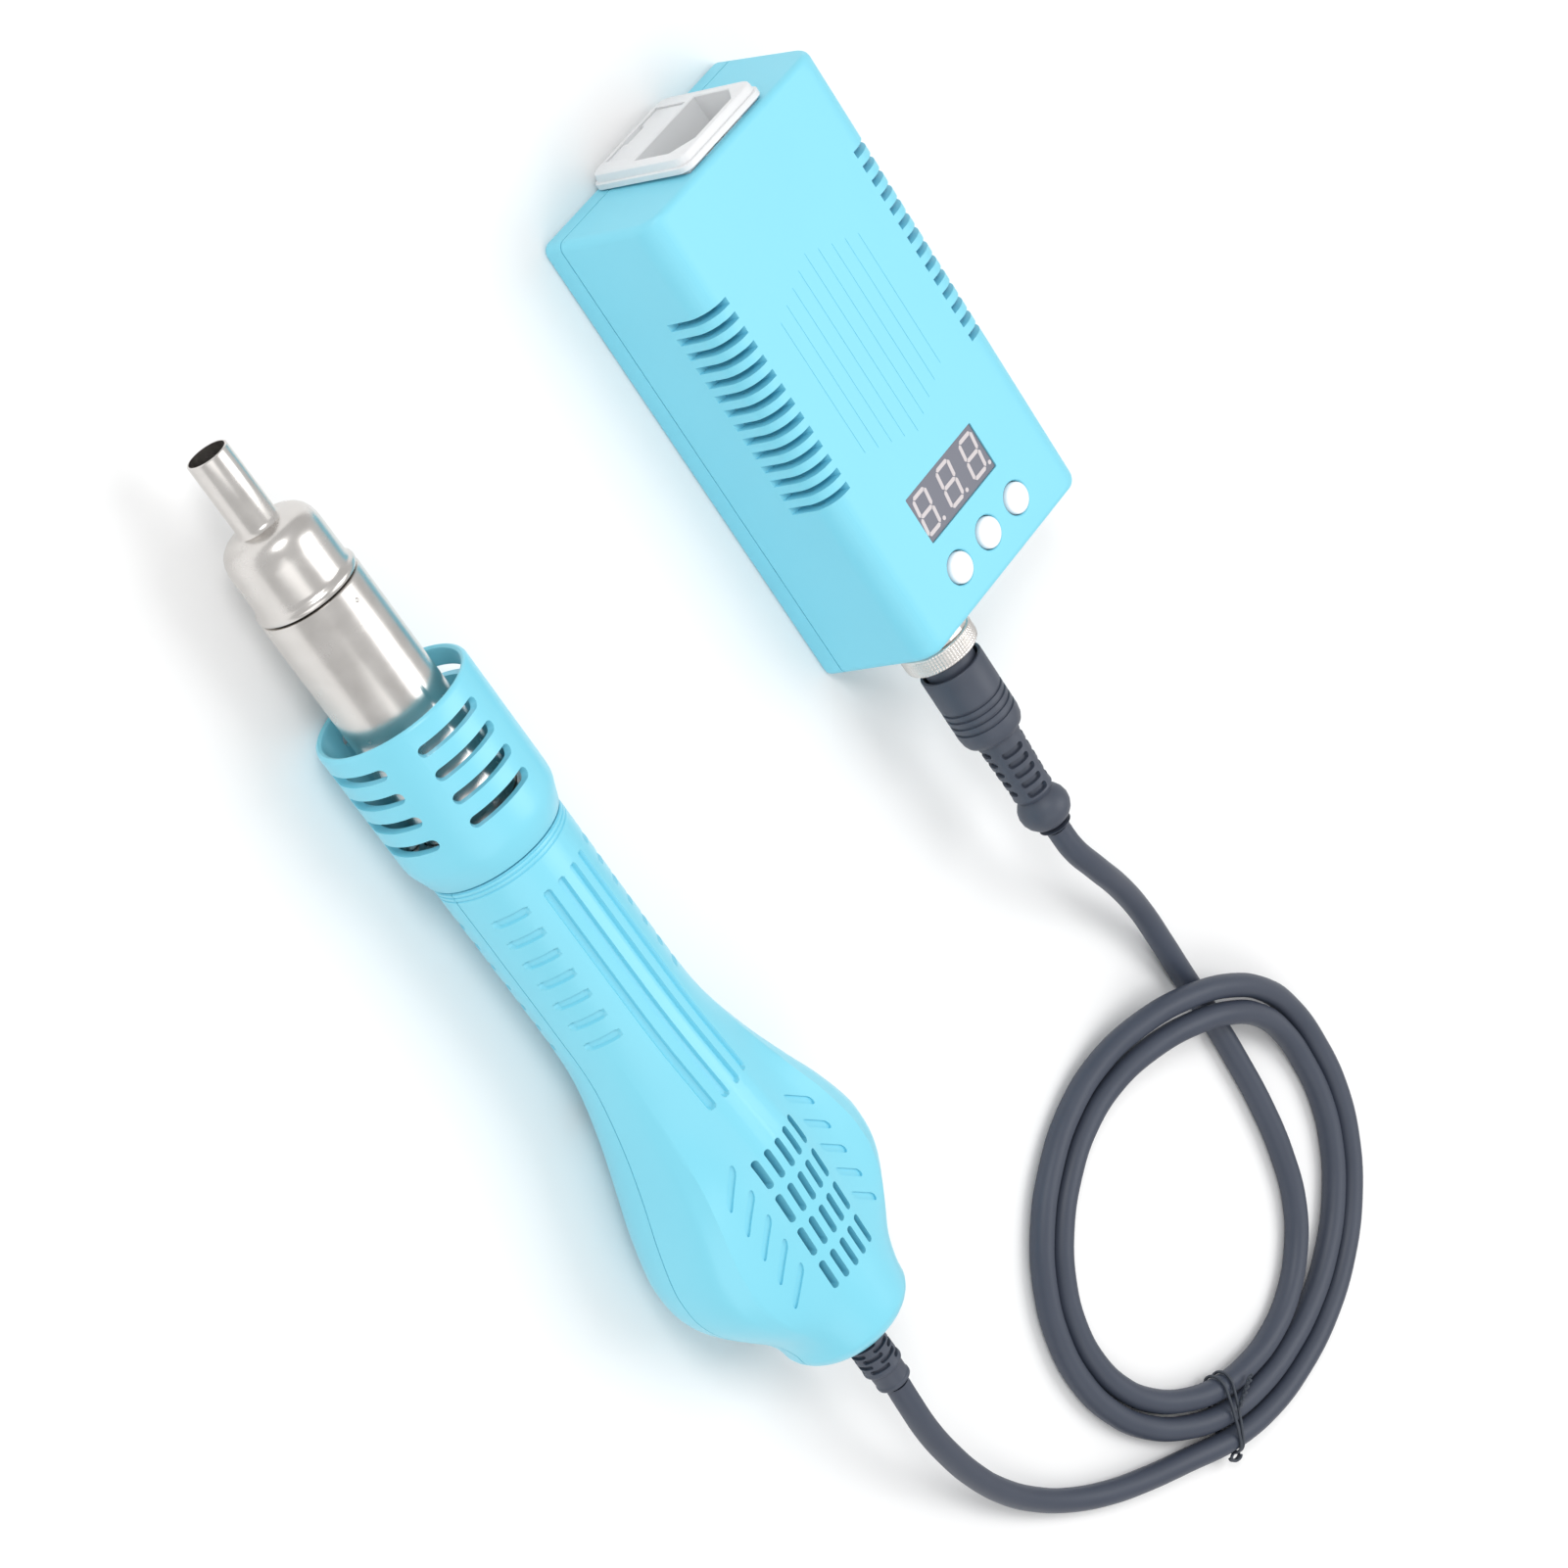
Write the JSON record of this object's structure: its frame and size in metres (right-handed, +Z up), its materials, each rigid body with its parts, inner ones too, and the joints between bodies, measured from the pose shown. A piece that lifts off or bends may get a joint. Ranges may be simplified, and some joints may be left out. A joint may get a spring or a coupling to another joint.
{
  "type": "hot air rework station",
  "caption": "Hot-air gun with a round nozzle, slotted guard and bulb fan handle, wired by a cord to a small display and button controller box.",
  "frame": {"origin": "centre of the footprint without the cord, on the floor", "axes": "+X along the handset from nozzle to cord, +Y from the handset to the controller box, +Z up"},
  "size_m": [0.3948, 0.2158, 0.0416],
  "materials": {
    "teal_plastic": "satin, moulded",
    "white_plastic": "satin",
    "brushed_steel": "satin, drawn",
    "nickel_plate": "bright",
    "black_rubber": "satin",
    "dark_plastic": "satin",
    "ceramic": "matt",
    "mica": "satin",
    "resistance_wire": "oxidised",
    "circuit_board": "gloss",
    "aluminium": "satin",
    "smoked_face": "gloss",
    "copper": "bright",
    "zinc_screw": "bright"
  },
  "bodies": {
    "handset_and_box": {"barrel": "brushed_steel", "barrel_flange": "brushed_steel", "bulk_capacitor": "dark_plastic", "case_back_shell": "teal_plastic", "case_front_shell": "teal_plastic", "case_screw_1": "zinc_screw", "case_screw_2": "zinc_screw", "case_screw_3": "zinc_screw", "case_screw_4": "zinc_screw", "cord": "black_rubber", "cord_tie": "black_rubber", "display_board": "circuit_board", "display_module": "smoked_face", "fan_bearing": "zinc_screw", "fan_cover": "dark_plastic", "fan_housing": "dark_plastic", "fan_motor": "copper", "flange_screw_1": "zinc_screw", "flange_screw_2": "zinc_screw", "flange_screw_3": "zinc_screw", "handle_board": "circuit_board", "handle_bottom_shell": "teal_plastic", "handle_screw_1": "zinc_screw", "handle_screw_2": "zinc_screw", "handle_screw_3": "zinc_screw", "handle_screw_4": "zinc_screw", "handle_strain_relief": "black_rubber", "handle_top_shell": "teal_plastic", "heat_sink": "aluminium", "heater_core": "ceramic", "heater_end_disc": "ceramic", "heating_coil": "resistance_wire", "inlet_body": "white_plastic", "inlet_pin_earth": "nickel_plate", "inlet_pin_live": "nickel_plate", "inlet_pin_neutral": "nickel_plate", "main_board": "circuit_board", "mica_sleeve": "mica", "nose_guard": "teal_plastic", "panel_nut": "nickel_plate", "panel_socket": "nickel_plate", "plug_boot": "black_rubber", "plug_insert": "dark_plastic", "plug_shell": "dark_plastic", "reed_switch": "smoked_face", "tact_switch_1": "dark_plastic", "tact_switch_2": "dark_plastic", "tact_switch_3": "dark_plastic", "thermocouple": "brushed_steel", "transformer": "mica", "triac": "dark_plastic"},
    "fan": {"fan_shaft": "zinc_screw", "fan_impeller": "dark_plastic"},
    "nozzle": {"nozzle": "brushed_steel"},
    "fuse_drawer": {"fuse_drawer": "white_plastic", "fuse": "nickel_plate"},
    "coupling_nut": {"coupling_nut": "nickel_plate"},
    "button_1": {"button_1": "white_plastic"},
    "button_2": {"button_2": "white_plastic"},
    "button_3": {"button_3": "white_plastic"}
  },
  "joints": [
    {"name": "fan_spin", "type": "hinge", "parent": "handset_and_box", "child": "fan", "pos_m": [0.07868, -0.07553, 0.02096], "axis": [-0.0121, 0, 0.9999], "continuous": true},
    {"name": "nozzle_pull", "type": "slide", "parent": "handset_and_box", "child": "nozzle", "axis": [-0.9999, -0.0026, -0.0121], "range_m": [0, 0.02]},
    {"name": "fuse_drawer_slide", "type": "slide", "parent": "handset_and_box", "child": "fuse_drawer", "axis": [-1, 0, 0], "range_m": [0, 0.012]},
    {"name": "coupling_nut_turn", "type": "hinge", "parent": "handset_and_box", "child": "coupling_nut", "pos_m": [0.0229, 0.0513, 0.0225], "axis": [1, 0, 0], "continuous": true},
    {"name": "button_1_press", "type": "slide", "parent": "handset_and_box", "child": "button_1", "axis": [0, 0, -1], "range_m": [0, 0.0006], "stiffness_N_per_m": 300},
    {"name": "button_2_press", "type": "slide", "parent": "handset_and_box", "child": "button_2", "axis": [0, 0, -1], "range_m": [0, 0.0006], "stiffness_N_per_m": 300},
    {"name": "button_3_press", "type": "slide", "parent": "handset_and_box", "child": "button_3", "axis": [0, 0, -1], "range_m": [0, 0.0006], "stiffness_N_per_m": 300}
  ]
}
